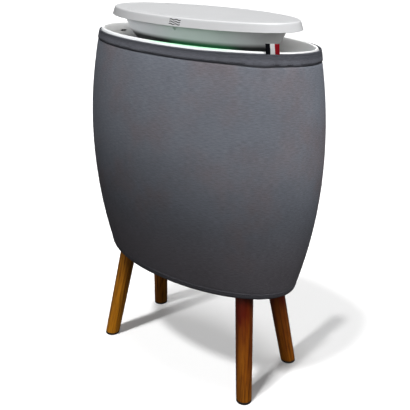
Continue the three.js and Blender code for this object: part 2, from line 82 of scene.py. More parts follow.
# Each light's azimuth, elevation and spread in degrees, and whether it takes in the floor alone or
# all but the floor. The last two reach only the pieces that are linked to them.
LIGHTS = {
    "floor": (-7, 64, 7, "INCLUDE"),
    "leg": (-11, 42, 5, "INCLUDE"),
    "top": (175, 87, 20, "INCLUDE"),
    "main": (60, 63, 36, "EXCLUDE"),
    "rear": (216, 28, 36, "EXCLUDE"),
    "left": (-60, 40, 60, "EXCLUDE"),
    "inner": (-25, 10, 50, None),
    "low": (0, 8, 60, None),
}
CORNERS = {
    "front_left": (-1, -1),
    "front_right": (1, -1),
    "rear_left": (-1, 1),
    "rear_right": (1, 1),
}
WOOD_TONE_AND_SHADE = {  # how light each leg's wood is drawn, at its foot and at its head: partly each piece's own tone, partly painted shade, darker towards the heads under the body
    "front_left": (0.82, 0.68),
    "front_right": (0.34, -0.10),
    "rear_left": (0.50, 0.42),
    "rear_right": (0.42, 0.06),
}


# ---------------------------------------------------------------- settings


def length(name, description, default):
    return FloatProperty(
        name=name, description=description, default=default, unit="LENGTH", precision=4
    )


def number(name, description, default):
    return FloatProperty(name=name, description=description, default=default)


def colour(name, description, default):
    return FloatVectorProperty(
        name=name, description=description, default=default, subtype="COLOR", size=3, min=0, max=1
    )


class BodySettings(bpy.types.PropertyGroup):
    """The oval body that the sleeve is stretched over."""

    bottom_half_width: length("Bottom half width", "Half the sleeve's width at its foot", 0.195)
    bottom_half_depth: length("Bottom half depth", "Half the sleeve's depth at its foot", 0.099)
    middle_height: length("Widest height", "Height of the widest part", 0.414)
    top_half_width: length("Top half width", "Half the sleeve's width at its rim", 0.2075)
    top_half_depth: length("Top half depth", "Half the sleeve's depth at its rim", 0.097)
    segments: IntProperty(name="Segments", description="Steps round the oval", default=192, min=48)


class SleeveSettings(bpy.types.PropertyGroup):
    """The knitted sleeve, its hems and its label."""

    thickness: length("Thickness", "Thickness of the knit", 1.5 * MM)
    top_hem: length("Top hem", "Height of the doubled hem at the rim", 15 * MM)
    bottom_hem: length("Bottom hem", "Height of the doubled hem at the foot", 12 * MM)
    hem_stand: length("Hem stand", "How far a doubled hem stands proud", 0.9 * MM)
    seam_dip: length("Seam dip", "How far a seam draws the knit in", 0.95 * MM)
    rim_lift: length("Rim lift", "How much higher the rim is drawn up at the label's end", 2.8 * MM)
    pucker: length("Pucker", "Depth of the gathers below the top seam", 1.5 * MM)
    stitch_pitch: length("Stitch pitch", "Distance from stitch to stitch", 3.4 * MM)
    label_width: length("Label width", "Width of the woven label", 19 * MM)
    knit: colour("Knit", "Yarn colour", (0.325, 0.345, 0.395))
    warm_knit: colour("Warm knit", "Yarn colour where the melange is warmer", (0.345, 0.320, 0.350))
    hem: colour("Hem", "Yarn colour where the knit is doubled", (0.225, 0.232, 0.265))
    thread: colour("Thread", "Sewing thread", (0.030, 0.032, 0.038))


class TopSettings(bpy.types.PropertyGroup):
    """The funnel, the bowl and the lid."""

    wall: length("Wall", "Thickness of the moulded walls", 2.4 * MM)
    lid_draft: length("Lid draft", "How far the lid's side leans in", 5 * MM)
    lid_edge: length("Lid edge", "Radius of the lid's top edge", 2.2 * MM)
    white: colour("White", "White moulded pieces", (0.70, 0.70, 0.695))
    lid_white: colour("Lid white", "White moulded lid", (0.735, 0.740, 0.750))
    mark: colour("Mark", "Printed mark on the lid's edge", (0.035, 0.035, 0.04))
    glow: colour("Glow", "Light inside the outlet", (0.02, 1.0, 0.30))
    glow_centre: length("Glow centre", "Where the light is brightest, sideways", 40 * MM)


class LegSettings(bpy.types.PropertyGroup):
    """The turned legs and their pads."""

    foot_x: length("Foot X", "A foot's distance from the middle, sideways", 161.3 * MM)
    foot_y: length("Foot Y", "A foot's distance from the middle, in depth", 73.4 * MM)
    head_x: length("Head X", "A leg head's distance from the middle, sideways", 132.6 * MM)
    head_y: length("Head Y", "A leg head's distance from the middle, in depth", 43.7 * MM)
    top_radius: length("Top radius", "Radius of a leg under the body", 15.2 * MM)
    bottom_radius: length("Bottom radius", "Radius of a leg at its foot", 13.5 * MM)
    pad_height: length("Pad height", "Thickness of a foot pad", 3.2 * MM)
    wood: colour("Wood", "Colour of the oiled wood", (0.66, 0.285, 0.015))
    wood_red: colour("Heartwood", "Colour of the redder heartwood", (0.125, 0.012, 0.002))
    wood_dark: colour("Dark grain", "Colour of the wood's dark grain", (0.040, 0.005, 0.001))


class StageSettings(bpy.types.PropertyGroup):
    """The floor, the lights and the camera."""

    azimuth: number("Azimuth", "Camera azimuth in degrees", 37.70)
    elevation: number("Elevation", "Camera elevation in degrees", 23.69)
    roll: number("Roll", "Camera roll in degrees", 0.88)
    target: FloatVectorProperty(
        name="Target", description="Where the camera aims", unit="LENGTH", precision=4,
        default=(8.1 * MM, 6.26 * MM, 299.9 * MM),
    )
    distance: length("Distance", "Camera to target", 1.1167)
    lens: number("Lens", "Focal length in millimetres", 55.33)
    backdrop: number("Backdrop", "Brightness of the background itself", 1.2)
    fill: number("Fill", "Strength of the even light from all round", 0.17)
    floor_power: number("Floor light", "Strength of the light on the floor", 2.2)
    leg_power: number("Leg light", "Strength of the light that shows the legs' shadows", 1.8)
    top_power: number("Top light", "Strength of the floor's light from above", 1.45)
    main_power: number("Main light", "Strength of the light on the object", 3.7)
    rear_power: number("Rear light", "Strength of the light behind the object", 1.3)
    left_power: number("Left light", "Strength of the weak light at the left", 0.25)
    inner_power: number("Inner light", "Strength of the light in the outlet", 2.3)
    inner_colour: colour("Inner colour", "Colour of the light in the outlet", (0.90, 0.95, 1.0))
    low_power: number("Low light", "Strength of the light on the legs", 0.8)
    contrast: number("Contrast", "Gamma of the view, under 1 for more punch", 0.88)
    floor: colour("Floor", "Floor and background", (0.72, 0.72, 0.72))
    floor_bounce: number("Floor bounce", "Share of the floor's colour that the object sees", 0.095)
    sweep_glow: number("Sweep glow", "Glow of the floor", 0.17)


SETTINGS = {
    "body": BodySettings,
    "sleeve": SleeveSettings,
    "top": TopSettings,
    "leg": LegSettings,
    "stage": StageSettings,
}


def settings(group):
    return getattr(bpy.context.scene, f"purifier_{group}")


# ---------------------------------------------------------------- outlines


def outline(z):
    """Half width and half depth of the sleeve's outside at a height: two half parabolas."""
    body = settings("body")
    if z < body.middle_height:
        end_a, end_b, end_z = body.bottom_half_width, body.bottom_half_depth, SLEEVE_LOW.z
    else:
        end_a, end_b, end_z = body.top_half_width, body.top_half_depth, SLEEVE_HIGH.z
    u = (z - body.middle_height) / (end_z - body.middle_height)
    a, b = SLEEVE_HIGH.x, SLEEVE_HIGH.y
    return a + (end_a - a) * u * u, b + (end_b - b) * u * u


def sleeve_oval(z):
    return outline(min(max(z, SLEEVE_LOW.z), SLEEVE_HIGH.z))


def outline_turn(at, z):
    """The angle of a point round the sleeve, with the oval at a height drawn out to a circle."""
    a, b = sleeve_oval(z)
    return math.atan2(at.y / b, at.x / a)


def oval_normal(at, a, b):
    return Vector((at.x / a**2, at.y / b**2, 0)).normalized()


def direction(azimuth, elevation):
    """The direction from the object to an azimuth and an elevation, in radians."""
    level = math.cos(elevation)
    return Vector((math.sin(azimuth) * level, -math.cos(azimuth) * level, math.sin(elevation)))


def inside(inset, z, at=None):
    """One ring of an oval piece, set in from the body's outline at that height or another."""
    a, b = outline(z if at is None else at)
    return a - inset, b - inset, z


def bowl_ring(inset, z):
    """One ring of the bowl, whose side runs in faster as it goes down."""
    down = BOWL_HIGH.z - z
    run = BOWL_LEAN * down + BOWL_CURVE * down * down + inset
    return BOWL_HIGH.x - run, BOWL_HIGH.y - run, z


def lid_ring(inset, z):
    """One ring of the lid, whose side leans in by its draft."""
    run = settings("top").lid_draft * (z - LID_LOW.z) / (LID_HIGH.z - LID_LOW.z) + inset
    return LID_HIGH.x - run, LID_HIGH.y - run, z


def steps(low, high, count):
    return [low + (high - low) * i / count for i in range(count + 1)]


def quarter(radius, start, across, up, count=5):
    """Points of a quarter round from an angle in degrees, about the centre (across, up)."""
    return [
        (across + radius * math.cos(math.radians(t)), up + radius * math.sin(math.radians(t)))
        for t in steps(start, start + 90, count)
    ]


def eased(points, count):
    """A smooth line through the points, with count steps between each two of them."""
    at = [Vector(p) for p in points]
    line = []
    for i in range(len(at) - 1):
        before, after = at[max(i - 1, 0)], at[min(i + 2, len(at) - 1)]
        p, q = at[i], at[i + 1]
        for k in range(count):
            t = k / count
            bend = (2 * before - 5 * p + 4 * q - after) * t**2
            twist = (3 * p - before - 3 * q + after) * t**3
            line.append(0.5 * (2 * p + (q - before) * t + bend + twist))
    return [tuple(p) for p in [*line, at[-1]]]


# ---------------------------------------------------------------- modelling


def deselect_all():
    if bpy.context.object and bpy.context.object.mode != "OBJECT":
        bpy.ops.object.mode_set(mode="OBJECT")
    bpy.ops.object.select_all(action="DESELECT")


def select(*pieces):
    deselect_all()
    for piece in pieces:
        piece.select_set(True)
    bpy.context.view_layer.objects.active = pieces[0]


def name_piece(name):
    piece = bpy.context.object
    piece.name = piece.data.name = name
    return piece


def shape_primitive(name, scale=None):
    """Names a new primitive, scales it, and moves its place into its mesh."""
    piece = name_piece(name)
    if scale:
        piece.scale = scale
    bpy.ops.object.transform_apply(location=True, rotation=True, scale=True)
    return piece


def edit_all():
    bpy.ops.object.mode_set(mode="EDIT")
    bpy.ops.mesh.select_all(action="SELECT")


def sweep(rings, centre):
    """Extrudes the selected ring through (half width, half depth, z) rings about their centres."""
    for (a0, b0, z0), (a1, b1, z1) in zip(rings, rings[1:]):
        there = centre(z1)
        bpy.ops.mesh.extrude_edges_move(TRANSFORM_OT_translate={"value": there - centre(z0)})
        bpy.ops.transform.resize(value=(a1 / a0, b1 / b0, 1), center_override=there)


def close_ends(bridged):
    """Bridges the last ring to the first, or fills both ends, and turns the faces out."""
    bpy.ops.mesh.select_all(action="DESELECT")
    bpy.ops.mesh.select_mode(type="EDGE")
    bpy.ops.mesh.select_non_manifold(extend=False)
    if bridged:
        bpy.ops.mesh.bridge_edge_loops()
    else:
        bpy.ops.mesh.fill_holes(sides=0)
    bpy.ops.mesh.select_all(action="SELECT")
    bpy.ops.mesh.normals_make_consistent(inside=False)
    bpy.ops.object.mode_set(mode="OBJECT")


def loft(name, rings, closed=True):
    """An oval piece through the given (half width, half depth, z) rings."""
    deselect_all()
    a, b, z = rings[0]
    steps_round = settings("body").segments
    bpy.ops.mesh.primitive_circle_add(vertices=steps_round, radius=1, location=(0, 0, z))
    piece = shape_primitive(name)
    edit_all()
    bpy.ops.transform.resize(value=(a, b, 1), center_override=(0, 0, z))
    sweep(rings, lambda height: Vector((0, 0, height)))
    close_ends(closed)
    return piece


def apply_modifier(piece, kind, **values):
    """Adds a modifier with its settings and applies it to the mesh."""
    select(piece)
    modifier = piece.modifiers.new(kind.title(), kind)
    for key, value in values.items():
        setattr(modifier, key, value)
    bpy.ops.object.modifier_apply(modifier=modifier.name)


def carve(piece, tool):
    """Cuts the tool's shape out of a piece and removes the tool."""
    apply_modifier(piece, "BOOLEAN", operation="DIFFERENCE", solver="EXACT", object=tool)
    bpy.data.objects.remove(tool)


def settle(piece, angle, finish_name, slot, *nodes):
    """Smooths a finished piece, and gives it its material, its body and the nodes it stands for."""
    select(piece)
    bpy.ops.object.shade_smooth_by_angle(angle=math.radians(angle))
    piece.data.materials.clear()
    piece.data.materials.append(finish(finish_name))
    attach(piece, HOUSING)
    if nodes:
        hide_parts(*nodes)


def rounded_block(name, low, high, radius):
    """A block between two corners, with its edges rounded."""
    deselect_all()
    low, high = Vector(low), Vector(high)
    bpy.ops.mesh.primitive_cube_add(size=1, location=(low + high) / 2)
    piece = shape_primitive(name, high - low)
    edit_all()
    bpy.ops.mesh.bevel(offset=radius, segments=3, affect="EDGES")
    bpy.ops.object.mode_set(mode="OBJECT")
    return piece


# ---------------------------------------------------------------- shader trees


class Tree:
    """A node tree with short calls that add its nodes and link them."""

    def __init__(self, tree):
        self.tree = tree
        tree.nodes.clear()

    def feed(self, node, inputs):
        """Links or sets each named input of a node."""
        for key, value in inputs.items():
            if isinstance(value, bpy.types.NodeSocket):
                self.tree.links.new(value, node.inputs[key])
            else:
                node.inputs[key].default_value = value

    def add(self, kind, inputs=None, **values):
        node = self.tree.nodes.new(kind)
        for key, value in values.items():
            setattr(node, key, value)
        self.feed(node, inputs or {})
        return node

    def group(self, key, vector):
        """The outputs of a shared effect, placed in this tree."""
        return self.add("ShaderNodeGroup", {"Vector": vector}, node_tree=effect(key)).outputs

    def attribute(self, name, output):
        return self.add("ShaderNodeAttribute", attribute_name=name).outputs[output]

    def camera_ray(self):
        return self.add("ShaderNodeLightPath").outputs["Is Camera Ray"]

    def place(self):
        return self.add("ShaderNodeTexCoord").outputs["Object"]

    def cloth_place(self):
        return self.add("ShaderNodeUVMap", uv_map="cloth").outputs[0]

    def split(self, vector):
        return self.add("ShaderNodeSeparateXYZ", {0: vector}).outputs

    def math(self, operation, a, b=0.0, c=0.0, **values):
        inputs = {0: a, 1: b, 2: c}
        return self.add("ShaderNodeMath", inputs, operation=operation, **values).outputs[0]

    def minus(self, a, b):
        return self.math("SUBTRACT", a, b)

    def over(self, a, b):
        return self.math("DIVIDE", a, b)

    def scaled(self, value, gain, shift):
        return self.math("MULTIPLY_ADD", value, gain, shift)

    def below(self, a, b):
        return self.math("LESS_THAN", a, b)

    def product(self, first, *others):
        for other in others:
            first = self.math("MULTIPLY", first, other)
        return first

    def apart(self, a, b):
        return self.math("ABSOLUTE", self.minus(a, b))

    def dim(self, paint, factor):
        inputs = {0: paint, "Scale": factor}
        return self.add("ShaderNodeVectorMath", inputs, operation="SCALE").outputs[0]

    def noise(self, vector, scale, detail=2.0, roughness=0.5):
        inputs = {"Vector": vector, "Scale": scale, "Detail": detail, "Roughness": roughness}
        return self.add("ShaderNodeTexNoise", inputs).outputs["Fac"]

    def long_noise(self, vector, stretch, detail, roughness=0.5, shift=(0, 0, 0)):
        """Noise whose scale differs along each axis."""
        inputs = {"Vector": vector, "Scale": stretch, "Location": shift}
        return self.noise(self.add("ShaderNodeMapping", inputs).outputs[0], 1.0, detail, roughness)

    def between(self, value, low, high, out_low=0.0, out_high=1.0):
        """A smooth rise as the value goes from low to high."""
        inputs = {"Value": value, 1: low, 2: high, 3: out_low, 4: out_high}
        node = self.add("ShaderNodeMapRange", inputs, interpolation_type="SMOOTHSTEP")
        return node.outputs[0]

    def blend(self, factor, a, b):
        return self.add("ShaderNodeMix", {0: factor, 6: a, 7: b}, data_type="RGBA").outputs[2]

    def bump(self, height, distance, strength=1.0):
        inputs = {"Height": height, "Distance": distance, "Strength": strength}
        return self.add("ShaderNodeBump", inputs).outputs[0]


class Finish(Tree):
    """A material's tree, with one Principled shader that holds the constants."""

    def __init__(self, name, base, roughness, constants=None):
        self.material = bpy.data.materials.new(name)
        self.material.use_nodes = True
        super().__init__(self.material.node_tree)
        inputs = {"Base Color": tint(base), "Roughness": roughness, **(constants or {})}
        self.shader = self.add("ShaderNodeBsdfPrincipled", inputs)
        self.add("ShaderNodeOutputMaterial", {"Surface": self.shader.outputs[0]})

    def show(self, inputs):
        """Feeds the shader what changes over the surface."""
        self.feed(self.shader, inputs)


BLACK = (0, 0, 0, 1)


def tint(colour_value, gain=1.0):
    return (*(min(c * gain, 1.0) for c in colour_value), 1.0)


# ---------------------------------------------------------------- shared effects


def jersey_knit(tree, given):
    """Plain knit: columns of V stitches, with the yarn's lighter and darker stretches."""
    vector = given["Vector"]
    across, along, _ = tree.split(vector)
    column = tree.math("FRACT", tree.over(across, given["Wale"]))
    side = tree.product(tree.apart(column, 0.5), 2.0)
    row = tree.math("ADD", tree.over(along, given["Course"]), side)
    loop = tree.math("SINE", tree.product(tree.math("FRACT", row), TURN))
    ridge = tree.scaled(loop, 0.5, 0.5)
    valley = tree.product(side, tree.minus(1.0, side), 4.0)
    streaks = tree.long_noise(vector, (120, 900, 1), 3.0, 0.6)
    clouds = tree.long_noise(vector, (9, 9, 1), 3.0, 0.6)
    return {
        "Height": tree.product(ridge, tree.math("POWER", valley, 0.5)),
        "Yarn": tree.math("ADD", tree.product(streaks, 0.7), tree.product(clouds, 0.3)),
        "Fuzz": tree.noise(vector, 2600.0, 2.0, 0.7),
    }


def moulded_skin(tree, given):
    """Spark-eroded skin of a moulding, with faint smears where it is handled."""
    vector = given["Vector"]
    return {
        "Height": tree.noise(vector, given["Grain"], 2.0, 0.6),
        "Smear": tree.long_noise(vector, (14, 14, 40), 4.0, 0.6),
        "Dust": tree.noise(vector, 55.0, 5.0, 0.65),
    }


def wood_grain(tree, given):
    """Straight grain: growth rings cut lengthwise, fine pores and broad colour drift."""
    vector = given["Vector"]
    across, painted_underside_shade, along = tree.split(vector)
    bent = tree.scaled(tree.long_noise(vector, (26, 26, 5), 2.0), 26 * MM, across)
    slant = tree.scaled(painted_underside_shade, 0.35, bent)
    phase = tree.over(tree.scaled(along, 0.03, slant), given["Ring Width"])
    wave = tree.math("POWER", tree.math("PINGPONG", phase, 1.0), 2.2)
    figure = tree.between(tree.long_noise(vector, (210, 210, 7), 4.0, 0.6), 0.40, 0.66)
    return {
        "Rings": tree.product(figure, tree.scaled(wave, 0.55, 0.45)),
        "Pores": tree.long_noise(vector, (1300, 1300, 45), 3.0, 0.65),
        "Drift": tree.long_noise(vector, (34, 34, 9), 3.0, 0.55),
    }


EFFECTS = {
    "knit": ("Jersey Knit", jersey_knit, {"Wale": 1.3 * MM, "Course": 1.0 * MM}),
    "moulded": ("Moulded Skin", moulded_skin, {"Grain": 2200.0}),
    "wood": ("Wood Grain", wood_grain, {"Ring Width": 2.6 * MM}),
}


@cache
def effect(key):
    """A shared node group, whose outputs are values that change over the surface."""
    name, build, numbers = EFFECTS[key]
    group = bpy.data.node_groups.new(name, "ShaderNodeTree")
    sockets = group.interface
    sockets.new_socket("Vector", in_out="INPUT", socket_type="NodeSocketVector")
    for socket, default in numbers.items():
        made = sockets.new_socket(socket, in_out="INPUT", socket_type="NodeSocketFloat")
        made.default_value = default
    tree = Tree(group)
    values = build(tree, tree.add("NodeGroupInput").outputs)
    for socket in values:
        sockets.new_socket(socket, in_out="OUTPUT", socket_type="NodeSocketFloat")
    tree.add("NodeGroupOutput", values)
    return group


# ---------------------------------------------------------------- finishes


def knit_finish():
    """Grey melange jersey, with the stitches' relief and a slightly fuzzy face. Painted shade darkens
    the stitch hollows, the top seam's furrow, a band under the rim and the lower sleeve, which also
    turns warmer.
    """
    sleeve = settings("sleeve")
    look = Finish("Grey Jersey", sleeve.knit, 0.95, {"Specular IOR Level": 0.12})
    place = look.cloth_place()
    knit = look.group("knit", place)
    height = look.split(place)[1]
    top_seam, foot_seam = SLEEVE_HIGH.z - sleeve.top_hem, SLEEVE_LOW.z + sleeve.bottom_hem
    upper = look.between(height, top_seam - 0.6 * MM, top_seam + 0.6 * MM)
    lower = look.between(height, foot_seam + 0.6 * MM, foot_seam - 0.6 * MM, 0.0, 0.55)
    # Painted shade: the knit darkens by up to a tenth in the furrow along the top seam.
    seam_shade = look.between(look.apart(height, top_seam), 0.3 * MM, 5.5 * MM, 0.90, 1.0)
    # Painted shade: a darker band just under the rim, in the shade of the funnel's lip.
    rim_shade = look.between(height, SLEEVE_HIGH.z - 8 * MM, SLEEVE_HIGH.z - 3.2 * MM, 1.0, 0.66)
    # Painted shade: the knit darkens from mid height down towards the foot, as the light falls off on
    # the lower sleeve.
    painted_low_shade = look.between(height, 290 * MM, 470 * MM, 0.62, 0.97)
    streak = look.scaled(look.between(knit["Yarn"], 0.34, 0.66), 0.30, 0.85)
    # Painted shade in the hollows between the stitches.
    gap = look.scaled(knit["Height"], 0.22, 0.78)
    fuzz = look.scaled(knit["Fuzz"], 0.3, 0.85)
    warmth = look.between(look.long_noise(place, (11, 8, 1), 4.0, 0.6, (3, 1, 0)), 0.42, 0.68)
    # Painted shade: below mid height the knit turns toward the warm yarn colour, the brownish tint of
    # the shaded lower sleeve; it is merged with the melange's own warm patches.
    painted_shade_warmth = look.between(height, 360 * MM, 235 * MM, 0.0, 0.8)
    warmth_and_shade = look.math("MAXIMUM", warmth, painted_shade_warmth)
    melange = look.blend(warmth_and_shade, tint(sleeve.knit), tint(sleeve.warm_knit))
    # The top hem band takes the darker hem colour, the bottom one about halfway.
    cloth = look.blend(look.math("MAXIMUM", upper, lower), melange, tint(sleeve.hem))
    look.show({
        "Base Color": look.dim(cloth, look.product(seam_shade, rim_shade, painted_low_shade, streak, gap, fuzz)),
        "Normal": look.bump(look.scaled(knit["Fuzz"], 0.35, knit["Height"]), 0.22 * MM, 0.7),
    })
    return look


def moulded(name, base, roughness, constants=None):
    """A moulded plastic with a fine skin and small changes of gloss."""
    look = Finish(name, base, roughness, constants)
    skin = look.group("moulded", look.place())
    look.paint = look.blend(look.between(skin["Dust"], 0.45, 0.8), tint(base), tint(base, 0.98))
    look.show({
        "Base Color": look.paint,
        "Roughness": look.between(skin["Smear"], 0.3, 0.7, roughness * 0.94, roughness * 1.07),
        "Normal": look.bump(skin["Height"], 0.02 * MM),
    })
    return look


def wood_finish():
    """Oiled hardwood with long grain, pores and darker growth rings."""
    leg = settings("leg")
    look = Finish(
        "Oiled Hardwood", leg.wood, 0.42,
        {"Coat Weight": 0.05, "Coat Roughness": 0.3, "Specular IOR Level": 0.3},
    )
    wood = look.group("wood", look.attribute("grain", "Vector"))
    # Painted shade: the tone attribute darkens each leg towards its head under the body, on top of
    # each piece's own tone.
    tone = look.minus(look.attribute("tone", "Fac"), 0.45)
    sapwood_and_shade = look.math("MULTIPLY_ADD", wood["Drift"], 0.9, tone, use_clamp=True)
    body = look.blend(sapwood_and_shade, tint(leg.wood_red), tint(leg.wood))
    dark = tint(leg.wood_dark)
    ringed = look.blend(look.product(wood["Rings"], 0.9), body, dark)
    pores = look.between(wood["Pores"], 0.52, 0.72)
    look.show({
        "Base Color": look.blend(look.product(pores, 0.45), ringed, dark),
        "Roughness": look.scaled(pores, 0.2, 0.36),
        "Normal": look.bump(look.minus(1.0, pores), 0.08 * MM),
    })
    return look


def metal(name, base, roughness):
    """Plated steel with a fine drawn grain."""
    look = Finish(name, base, roughness, {"Metallic": 1.0})
    grain = look.long_noise(look.place(), (60, 60, 2400), 3.0)
    look.show({
        "Roughness": look.between(grain, 0.3, 0.7, roughness * 0.7, roughness * 1.4),
        "Normal": look.bump(grain, 0.01 * MM),
    })
    return look


def fibre(name, base, scale):
    """Matted fibres, as in filter paper, foam or felt."""
    look = Finish(name, base, 0.95)
    mat = look.noise(look.place(), scale, 5.0, 0.7)
    look.show({
        "Base Color": look.blend(mat, tint(base, 0.75), tint(base, 1.15)),
        "Normal": look.bump(mat, 0.25 * MM),
    })
    return look


def board_finish():
    """Solder mask over copper tracks."""
    base = (0.01, 0.11, 0.035)
    look = Finish("Circuit Board", base, 0.35)
    tracks = look.add(
        "ShaderNodeTexVoronoi", {"Vector": look.place(), "Scale": 260.0},
        distance="MANHATTAN", feature="DISTANCE_TO_EDGE",
    ).outputs[0]
    raised = look.between(tracks, 0.05, 0.12)
    look.show({
        "Base Color": look.blend(raised, tint(base, 2.2), tint(base)),
        "Normal": look.bump(raised, 0.04 * MM),
    })
    return look


def glow_band(look, across, depth, far, near):
    """The front stretch of an oval piece where the light guide's green light is painted on, from far
    to near.
    """
    away = look.apart(across, settings("top").glow_centre)
    return look.product(look.between(away, far, near), look.below(depth, 0.0))


def light_guide_finish():
    """Light guide: lit from inside, brightest at the front."""
    top = settings("top")
    look = Finish("Lit Light Guide", (0.6, 0.9, 0.7), 0.4, {"Emission Strength": 0.3})
    place = look.place()
    across, depth, _ = look.split(place)
    speckle = look.noise(place, 900.0)
    power = look.product(
        look.between(depth, 0.0, -22 * MM),
        look.between(look.apart(across, top.glow_centre), 80 * MM, 20 * MM),
        look.scaled(speckle, 0.2, 0.9),
    )
    look.show({
        "Emission Color": look.blend(power, BLACK, tint(top.glow)),
        "Normal": look.bump(speckle, 0.02 * MM),
    })
    return look


def bowl_finish():
    """The white moulding, with painted shade that turns it near black below the lip's height, and the
    light guide's green painted on as a glow.
    """
    top, edge = settings("top"), FUNNEL_HIGH.z
    look = moulded("White Bowl", top.white, MOULDED_GLOSS, {"Emission Strength": 1.0})
    across, depth, height = look.split(look.place())
    # Painted shade: below the funnel's lip the bowl fades to near black, the shade deep in the
    # outlet.
    painted_underside_shade = look.between(height, edge + 4.8 * MM, edge - 4.2 * MM)
    near = look.between(height, edge - 4 * MM, edge - 14 * MM, 0.07, 0.20)
    # Painted light: the light guide's green glow on the bowl's front, drawn as emission.
    painted_glow = look.product(glow_band(look, across, depth, 70 * MM, 38 * MM), painted_underside_shade, near)
    look.show({
        "Base Color": look.blend(painted_underside_shade, look.paint, (0.008, 0.010, 0.009, 1)),
        "Emission Color": look.blend(painted_glow, BLACK, tint(top.glow)),
    })
    return look


def funnel_finish():
    """The white moulding, with the light guide's green light painted on the inside of its front lip:
    a glow, over paint darkened to a shaded green.
    """
    top, edge = settings("top"), FUNNEL_HIGH.z
    look = moulded("White Funnel", top.white, MOULDED_GLOSS, {"Emission Strength": 0.36})
    across, depth, height = look.split(look.place())
    a, b, _ = inside(7 * MM, SLEEVE_HIGH.z)
    ring = look.math("ADD", look.math("POWER", look.over(across, a), 2.0),
                     look.math("POWER", look.over(depth, b), 2.0))
    # Painted light and shade: the lip's inner crest glows green and its paint turns a dark, shaded
    # green, as if lit by the light guide from below.
    painted_glow = look.product(
        glow_band(look, across, depth, 80 * MM, 45 * MM),
        look.between(height, edge - 8 * MM, edge - 2 * MM),
        look.between(ring, 1.085, 1.035),
    )
    look.show({
        "Base Color": look.blend(look.product(painted_glow, 0.45), look.paint, (0.02, 0.30, 0.09, 1)),
        "Emission Color": look.blend(painted_glow, BLACK, tint(top.glow)),
    })
    return look


def lid_finish():
    """The white moulding, with a small printed mark of three waves on the front edge."""
    top = settings("top")
    look = moulded("White Lid", top.lid_white, MOULDED_GLOSS)
    across, depth, height = look.split(look.place())
    along = look.minus(across, 15 * MM)
    wave = look.product(look.math("SINE", look.product(along, 620.0)), 0.55 * MM)
    rise = look.minus(look.minus(height, wave), LID_LOW.z + 3.4 * MM)
    mask = look.product(
        look.between(look.math("PINGPONG", rise, 1.5 * MM), 0.72 * MM, 0.52 * MM),
        look.below(look.math("ABSOLUTE", along), 10.1 * MM),
        look.below(look.apart(rise, 3.0 * MM), 3.7 * MM),
        look.below(depth, 0.0),
    )
    look.show({"Base Color": look.blend(mask, look.paint, tint(top.mark))})
    return look


def label_finish():
    """Woven ribbon in three upright stripes, with its ribs."""
    look = Finish("Woven Ribbon", (0.8, 0.8, 0.8), 0.8, {"Specular IOR Level": 0.12})
    across, up, _ = look.split(look.cloth_place())
    pale = look.math("GREATER_THAN", across, 1 / 3)
    red = look.math("GREATER_THAN", across, 2 / 3)
    stripes = look.blend(pale, (0.004, 0.004, 0.007, 1), (0.95, 0.95, 0.95, 1))
    stripes = look.blend(red, stripes, (0.36, 0.008, 0.018, 1))
    ribs = look.math("SINE", look.product(up, 34 * TURN))
    threads = look.math("SINE", look.product(across, 60 * TURN))
    weave = look.scaled(threads, 0.4, ribs)
    look.show({
        "Base Color": look.dim(stripes, look.between(weave, -1.4, 1.4, 0.84, 1.0)),
        "Normal": look.bump(weave, 0.06 * MM),
    })
    return look


FINISHES = {
    "knit_fabric": knit_finish,
    "label_weave": label_finish,
    "white_shell": lambda: moulded("White Moulding", settings("top").white, MOULDED_GLOSS),
    "lid": lid_finish,
    "bowl": bowl_finish,
    "funnel": funnel_finish,
    "shell_grey": lambda: moulded("Grey Moulding", (0.28, 0.285, 0.29), 0.5),
    "inner_black": lambda: moulded("Black Moulding", (0.016, 0.016, 0.018), 0.5),
    "leg_wood": wood_finish,
    "foot_rubber": lambda: fibre("Foot Felt", (0.022, 0.018, 0.014), 1500.0),
    "gasket_rubber": lambda: fibre("Gasket Foam", (0.02, 0.02, 0.02), 1800.0),
    "steel": lambda: metal("Plated Steel", (0.62, 0.63, 0.64), 0.32),
    "motor_iron": lambda: metal("Motor Iron", (0.14, 0.14, 0.15), 0.5),
    "filter_frame": lambda: moulded("Filter Frame", (0.78, 0.78, 0.77), 0.6),
    "pleated_media": lambda: fibre("Filter Paper", (0.83, 0.82, 0.78), 1400.0),
    "carbon": lambda: fibre("Carbon Foam", (0.018, 0.018, 0.018), 900.0),
    "circuit_board": board_finish,
    "light_guide": light_guide_finish,
    "lens": lambda: moulded("Clear Lens", (0.85, 0.9, 0.88), 0.12, {"Coat Weight": 0.5}),
    "cable_jacket": lambda: moulded("Cable Jacket", (0.012, 0.012, 0.012), 0.55),
    "thread": lambda: fibre("Sewing Thread", settings("sleeve").thread, 4000.0),
}


@cache
def finish(name):
    """The named finish's material, made the first time that it is asked for."""
    return FINISHES[name]().material


# ---------------------------------------------------------------- pieces


def light_link(collection, piece, state="INCLUDE"):
    """Puts a piece into the collection that a light reaches, keeps off, or is blocked by."""
    reached = bpy.data.collections[collection]
    reached.objects.link(piece)
    reached.collection_objects[-1].light_linking.link_state = state


def cloth_map(piece, place):
    """Writes the piece's cloth map: place turns a vertex into (across, along)."""
    layer = piece.data.uv_layers.new(name="cloth")
    for polygon in piece.data.polygons:
        for loop_index in polygon.loop_indices:
            at = piece.data.vertices[piece.data.loops[loop_index].vertex_index].co
            layer.data[loop_index].uv = place(at, polygon.center)


